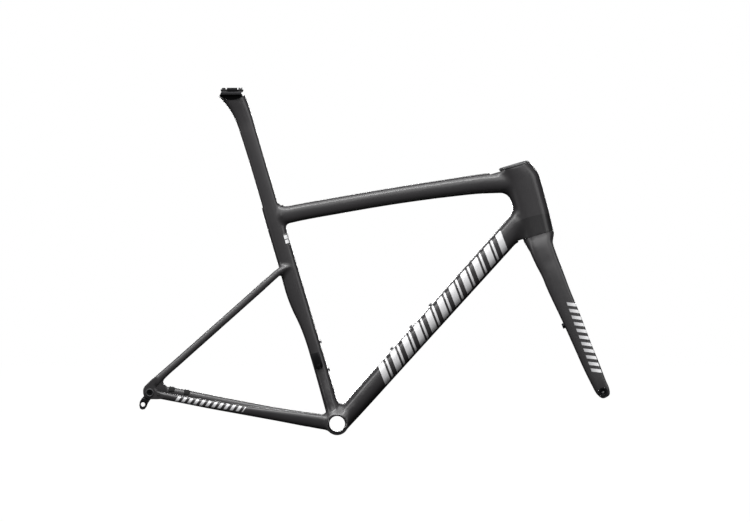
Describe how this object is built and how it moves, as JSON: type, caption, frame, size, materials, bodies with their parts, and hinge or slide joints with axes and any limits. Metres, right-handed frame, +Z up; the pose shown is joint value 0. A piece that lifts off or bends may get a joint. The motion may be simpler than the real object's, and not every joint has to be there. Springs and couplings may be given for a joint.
{
  "type": "bicycle frame",
  "caption": "Road bicycle frameset: bonded carbon tubes, disc fork turning in a headset, aero seatpost with a two-bolt saddle clamp, thru axles and a derailleur hanger.",
  "frame": {"origin": "centre of the bottom bracket", "axes": "+X to the front of the bicycle, +Y to the rider's left, +Z up"},
  "size_m": [1.0322, 0.1669, 0.7642],
  "materials": {
    "carbon": "satin charcoal clear coat over carbon laminate",
    "black_alloy": "black anodised",
    "silver_alloy": "bright machined",
    "steel": "dark satin",
    "plastic": "fine matte",
    "rubber": "matte"
  },
  "bodies": {
    "frame": {"bottle_bolt_down_1": "steel", "bottle_bolt_down_2": "steel", "bottle_bolt_down_3": "steel", "bottle_bolt_seat_1": "steel", "bottle_bolt_seat_2": "steel", "bottom_bracket_shell": "carbon", "bottom_bracket_sleeve": "black_alloy", "chain_stay_left": "carbon", "chain_stay_right": "carbon", "derailleur_hanger": "black_alloy", "down_tube": "carbon", "front_derailleur_mount": "black_alloy", "front_derailleur_screw": "steel", "hanger_screw": "steel", "head_tube": "carbon", "headset_cover": "plastic", "lower_bearing_outer": "steel", "rear_axle_nut": "black_alloy", "rear_brake_insert_1": "black_alloy", "rear_brake_insert_2": "black_alloy", "rear_dropout_left": "carbon", "rear_dropout_right": "carbon", "seat_stay_left": "carbon", "seat_stay_right": "carbon", "seat_tube": "carbon", "seatpost_wedge": "black_alloy", "seatpost_wedge_bolt": "steel", "seatpost_wedge_cap": "rubber", "top_tube": "carbon", "upper_bearing_outer": "steel", "wire_port_plug": "rubber"},
    "fork": {"crown_race": "steel", "compression_ring": "black_alloy", "fork_crown": "carbon", "fork_dropout_left": "black_alloy", "fork_dropout_right": "black_alloy", "fork_leg_left": "carbon", "fork_leg_right": "carbon", "fork_steerer": "carbon", "front_brake_insert_1": "black_alloy", "front_brake_insert_2": "black_alloy", "headset_cap": "plastic", "headset_cap_bolt": "steel", "lower_bearing_inner": "steel", "upper_bearing_inner": "steel", "steerer_plug": "black_alloy"},
    "front_axle": {"front_axle": "black_alloy"},
    "rear_axle": {"rear_axle": "black_alloy"},
    "seatpost": {"seatpost": "carbon"},
    "saddle_clamp": {"saddle_cradle": "black_alloy", "saddle_yoke": "black_alloy", "clamp_bolt_front": "silver_alloy", "clamp_bolt_rear": "black_alloy"}
  },
  "joints": [
    {"name": "steering", "type": "hinge", "parent": "frame", "child": "fork", "pos_m": [0.4352, 0, 0.4134], "axis": [-0.284, 0, 0.9588], "range_deg": [-65, 65]},
    {"name": "seatpost_height", "type": "slide", "parent": "frame", "child": "seatpost", "axis": [-0.2847, 0, 0.9586], "range_m": [-0.09, 0.03]},
    {"name": "saddle_tilt", "type": "hinge", "parent": "seatpost", "child": "saddle_clamp", "pos_m": [-0.233, 0, 0.755], "axis": [0, 1, 0], "range_deg": [-8, 8]},
    {"name": "rear_axle_pull", "type": "slide", "parent": "frame", "child": "rear_axle", "axis": [0, 1, 0], "range_m": [0, 0.17]},
    {"name": "front_axle_pull", "type": "slide", "parent": "fork", "child": "front_axle", "axis": [0, 1, 0], "range_m": [0, 0.13]}
  ]
}
